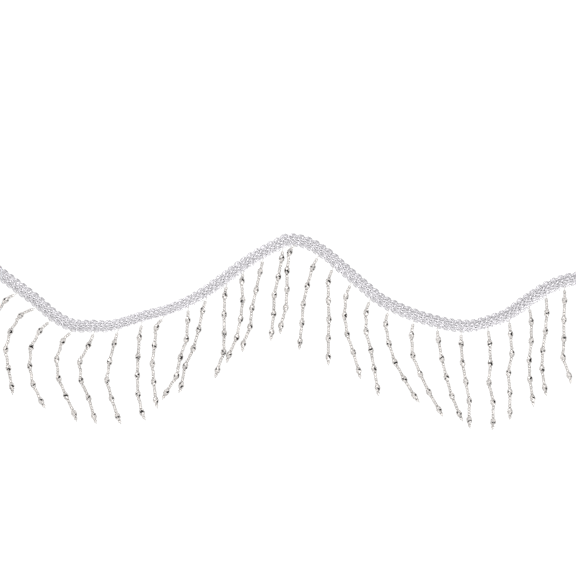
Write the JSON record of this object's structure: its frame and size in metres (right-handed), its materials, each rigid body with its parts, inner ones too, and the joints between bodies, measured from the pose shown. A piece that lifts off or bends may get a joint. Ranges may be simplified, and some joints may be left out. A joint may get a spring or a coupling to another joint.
{
  "type": "beaded fringe trim",
  "caption": "Flat silvery gimp braid with looped edges that carries hanging strands of clear seed beads and faceted oval beads, for sewing along an edge.",
  "frame": {"origin": "the point of the backing tape's back, on its centre line, at the top of the trim's middle curve", "axes": "+X along the trim, -Y roughly the way the strands hang, +Z out of the front of the trim"},
  "size_m": [0.4768, 0.1467, 0.0035],
  "materials": {
    "silver_yarn": "silvery rayon and metallised yarn, twisted and plaited, with a soft sparkle",
    "woven_tape": "plain woven white tape",
    "clear_thread": "fine white beading thread",
    "clear_bead": "clear, silver-lined beads, cut with facets"
  },
  "bodies": {
    "header": {"backing_tape": "woven_tape", "running_thread": "clear_thread", "gimp_braid": "silver_yarn", "upper_picot_edge": "silver_yarn", "lower_picot_edge": "silver_yarn", "left_end_tab": "woven_tape", "right_end_tab": "woven_tape"},
    "strand_01": {"bead_strand_01": "clear_bead"},
    "strand_02": {"bead_strand_02": "clear_bead"},
    "strand_03": {"bead_strand_03": "clear_bead"},
    "strand_04": {"bead_strand_04": "clear_bead"},
    "strand_05": {"bead_strand_05": "clear_bead"},
    "strand_06": {"bead_strand_06": "clear_bead"},
    "strand_07": {"bead_strand_07": "clear_bead"},
    "strand_08": {"bead_strand_08": "clear_bead"},
    "strand_09": {"bead_strand_09": "clear_bead"},
    "strand_10": {"bead_strand_10": "clear_bead"},
    "strand_11": {"bead_strand_11": "clear_bead"},
    "strand_12": {"bead_strand_12": "clear_bead"},
    "strand_13": {"bead_strand_13": "clear_bead"},
    "strand_14": {"bead_strand_14": "clear_bead"},
    "strand_15": {"bead_strand_15": "clear_bead"},
    "strand_16": {"bead_strand_16": "clear_bead"},
    "strand_17": {"bead_strand_17": "clear_bead"},
    "strand_18": {"bead_strand_18": "clear_bead"},
    "strand_19": {"bead_strand_19": "clear_bead"},
    "strand_20": {"bead_strand_20": "clear_bead"},
    "strand_21": {"bead_strand_21": "clear_bead"},
    "strand_22": {"bead_strand_22": "clear_bead"},
    "strand_23": {"bead_strand_23": "clear_bead"},
    "strand_24": {"bead_strand_24": "clear_bead"},
    "strand_25": {"bead_strand_25": "clear_bead"},
    "strand_26": {"bead_strand_26": "clear_bead"},
    "strand_27": {"bead_strand_27": "clear_bead"},
    "strand_28": {"bead_strand_28": "clear_bead"},
    "strand_29": {"bead_strand_29": "clear_bead"},
    "strand_30": {"bead_strand_30": "clear_bead"}
  },
  "joints": [
    {"name": "strand_01_lift", "type": "hinge", "parent": "header", "child": "strand_01", "pos_m": [-0.21915, -0.02839, 0.0017], "axis": [-0.94, 0.3411, 0], "range_deg": [0, 120]},
    {"name": "strand_02_lift", "type": "hinge", "parent": "header", "child": "strand_02", "pos_m": [-0.20309, -0.0403, 0.0017], "axis": [-0.9754, 0.2203, 0], "range_deg": [0, 120]},
    {"name": "strand_03_lift", "type": "hinge", "parent": "header", "child": "strand_03", "pos_m": [-0.18909, -0.05108, 0.0017], "axis": [-0.9642, 0.2651, 0], "range_deg": [0, 120]},
    {"name": "strand_04_lift", "type": "hinge", "parent": "header", "child": "strand_04", "pos_m": [-0.17807, -0.06048, 0.0017], "axis": [-0.9976, 0.0696, 0], "range_deg": [0, 120]},
    {"name": "strand_05_lift", "type": "hinge", "parent": "header", "child": "strand_05", "pos_m": [-0.1619, -0.06852, 0.0017], "axis": [-0.999, -0.0453, 0], "range_deg": [0, 120]},
    {"name": "strand_06_lift", "type": "hinge", "parent": "header", "child": "strand_06", "pos_m": [-0.14503, -0.06917, 0.0017], "axis": [-0.9999, -0.0148, 0], "range_deg": [0, 120]},
    {"name": "strand_07_lift", "type": "hinge", "parent": "header", "child": "strand_07", "pos_m": [-0.12725, -0.06784, 0.0017], "axis": [-0.9998, -0.0218, 0], "range_deg": [0, 120]},
    {"name": "strand_08_lift", "type": "hinge", "parent": "header", "child": "strand_08", "pos_m": [-0.10941, -0.06232, 0.0017], "axis": [-0.9996, -0.028, 0], "range_deg": [0, 120]},
    {"name": "strand_09_lift", "type": "hinge", "parent": "header", "child": "strand_09", "pos_m": [-0.09313, -0.05813, 0.0017], "axis": [-0.9972, 0.0747, 0], "range_deg": [0, 120]},
    {"name": "strand_10_lift", "type": "hinge", "parent": "header", "child": "strand_10", "pos_m": [-0.07469, -0.05104, 0.0017], "axis": [-0.9624, 0.2715, 0], "range_deg": [0, 120]},
    {"name": "strand_11_lift", "type": "hinge", "parent": "header", "child": "strand_11", "pos_m": [-0.06097, -0.04374, 0.0017], "axis": [-0.9595, 0.2817, 0], "range_deg": [0, 120]},
    {"name": "strand_12_lift", "type": "hinge", "parent": "header", "child": "strand_12", "pos_m": [-0.04586, -0.03333, 0.0017], "axis": [-0.9925, 0.1225, 0], "range_deg": [0, 120]},
    {"name": "strand_13_lift", "type": "hinge", "parent": "header", "child": "strand_13", "pos_m": [-0.03306, -0.02384, 0.0017], "axis": [-0.983, 0.1835, 0], "range_deg": [0, 120]},
    {"name": "strand_14_lift", "type": "hinge", "parent": "header", "child": "strand_14", "pos_m": [-0.01843, -0.01415, 0.0017], "axis": [-0.9755, 0.2201, 0], "range_deg": [0, 120]},
    {"name": "strand_15_lift", "type": "hinge", "parent": "header", "child": "strand_15", "pos_m": [-0.00377, -0.00634, 0.0017], "axis": [-0.9913, 0.1315, 0], "range_deg": [0, 120]},
    {"name": "strand_16_lift", "type": "hinge", "parent": "header", "child": "strand_16", "pos_m": [0.0048, -0.00468, 0.0017], "axis": [-0.987, 0.1609, 0], "range_deg": [0, 120]},
    {"name": "strand_17_lift", "type": "hinge", "parent": "header", "child": "strand_17", "pos_m": [0.02297, -0.01216, 0.0017], "axis": [-0.9786, 0.206, 0], "range_deg": [0, 120]},
    {"name": "strand_18_lift", "type": "hinge", "parent": "header", "child": "strand_18", "pos_m": [0.03375, -0.02073, 0.0017], "axis": [-0.9988, 0.0486, 0], "range_deg": [0, 120]},
    {"name": "strand_19_lift", "type": "hinge", "parent": "header", "child": "strand_19", "pos_m": [0.04742, -0.0326, 0.0017], "axis": [-0.9957, -0.0924, 0], "range_deg": [0, 120]},
    {"name": "strand_20_lift", "type": "hinge", "parent": "header", "child": "strand_20", "pos_m": [0.06159, -0.04469, 0.0017], "axis": [-0.9964, -0.0843, 0], "range_deg": [0, 120]},
    {"name": "strand_21_lift", "type": "hinge", "parent": "header", "child": "strand_21", "pos_m": [0.07519, -0.05322, 0.0017], "axis": [-0.9486, -0.3166, 0], "range_deg": [0, 120]},
    {"name": "strand_22_lift", "type": "hinge", "parent": "header", "child": "strand_22", "pos_m": [0.09412, -0.06104, 0.0017], "axis": [-0.9561, -0.2929, 0], "range_deg": [0, 120]},
    {"name": "strand_23_lift", "type": "hinge", "parent": "header", "child": "strand_23", "pos_m": [0.11179, -0.0662, 0.0017], "axis": [-0.9653, -0.2612, 0], "range_deg": [0, 120]},
    {"name": "strand_24_lift", "type": "hinge", "parent": "header", "child": "strand_24", "pos_m": [0.12985, -0.0692, 0.0017], "axis": [-0.9958, -0.0916, 0], "range_deg": [0, 120]},
    {"name": "strand_25_lift", "type": "hinge", "parent": "header", "child": "strand_25", "pos_m": [0.14973, -0.06642, 0.0017], "axis": [-0.9989, -0.0467, 0], "range_deg": [0, 120]},
    {"name": "strand_26_lift", "type": "hinge", "parent": "header", "child": "strand_26", "pos_m": [0.16583, -0.06051, 0.0017], "axis": [-1, -0.0068, 0], "range_deg": [0, 120]},
    {"name": "strand_27_lift", "type": "hinge", "parent": "header", "child": "strand_27", "pos_m": [0.18086, -0.0503, 0.0017], "axis": [-0.9992, -0.0409, 0], "range_deg": [0, 120]},
    {"name": "strand_28_lift", "type": "hinge", "parent": "header", "child": "strand_28", "pos_m": [0.19349, -0.04199, 0.0017], "axis": [-1, 0, 0], "range_deg": [0, 120]},
    {"name": "strand_29_lift", "type": "hinge", "parent": "header", "child": "strand_29", "pos_m": [0.20732, -0.03577, 0.0017], "axis": [-0.998, -0.0633, 0], "range_deg": [0, 120]},
    {"name": "strand_30_lift", "type": "hinge", "parent": "header", "child": "strand_30", "pos_m": [0.22259, -0.03184, 0.0017], "axis": [-0.9985, -0.0554, 0], "range_deg": [0, 120]}
  ]
}
